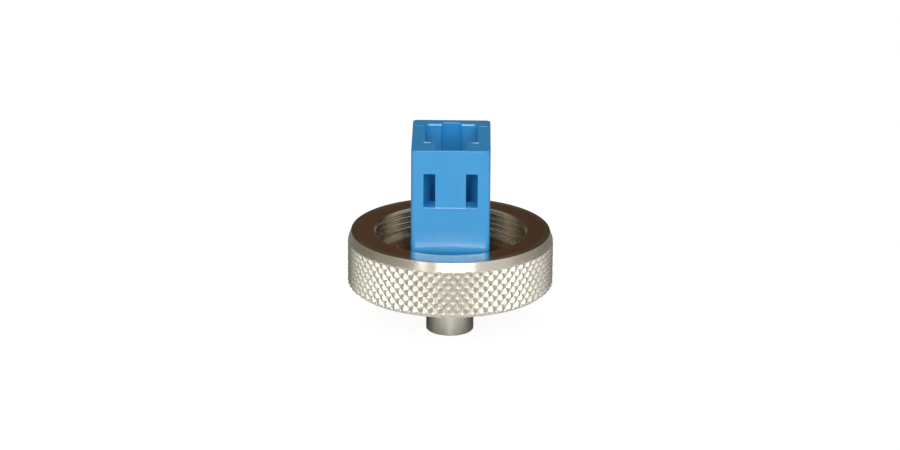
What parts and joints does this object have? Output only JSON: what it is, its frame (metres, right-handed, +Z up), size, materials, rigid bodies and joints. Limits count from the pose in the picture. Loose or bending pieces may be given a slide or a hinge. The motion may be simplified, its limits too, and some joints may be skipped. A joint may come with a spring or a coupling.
{
  "type": "fibre tester adapter",
  "caption": "Screw-on port adapter for a fibre tester: a square push-in plug receptacle on a captive knurled nut, with a guide tube below.",
  "frame": {"origin": "centre of the guide tube's lower end, which is the bottom centre of the part", "axes": "+Z up the optical axis, out of the plug port; -Y out of the latch side; +X to the right of the latch side"},
  "size_m": [0.0186, 0.0186, 0.0185],
  "materials": {
    "nickel_plate": "bright nickel plate over turned and knurled brass",
    "blue_moulding": "satin moulded plastic",
    "turned_steel": "fine turned",
    "zirconia": "ground"
  },
  "bodies": {
    "adapter": {"lc_receptacle": "blue_moulding", "ferrule_guide": "turned_steel", "split_sleeve": "zirconia", "sleeve_cap": "turned_steel", "key_pin": "turned_steel"},
    "nut": {"coupling_nut": "nickel_plate"}
  },
  "joints": [
    {"name": "nut_spin", "type": "hinge", "parent": "adapter", "child": "nut", "pos_m": [0, 0, 0.0066], "axis": [0, 0, 1], "continuous": true}
  ]
}
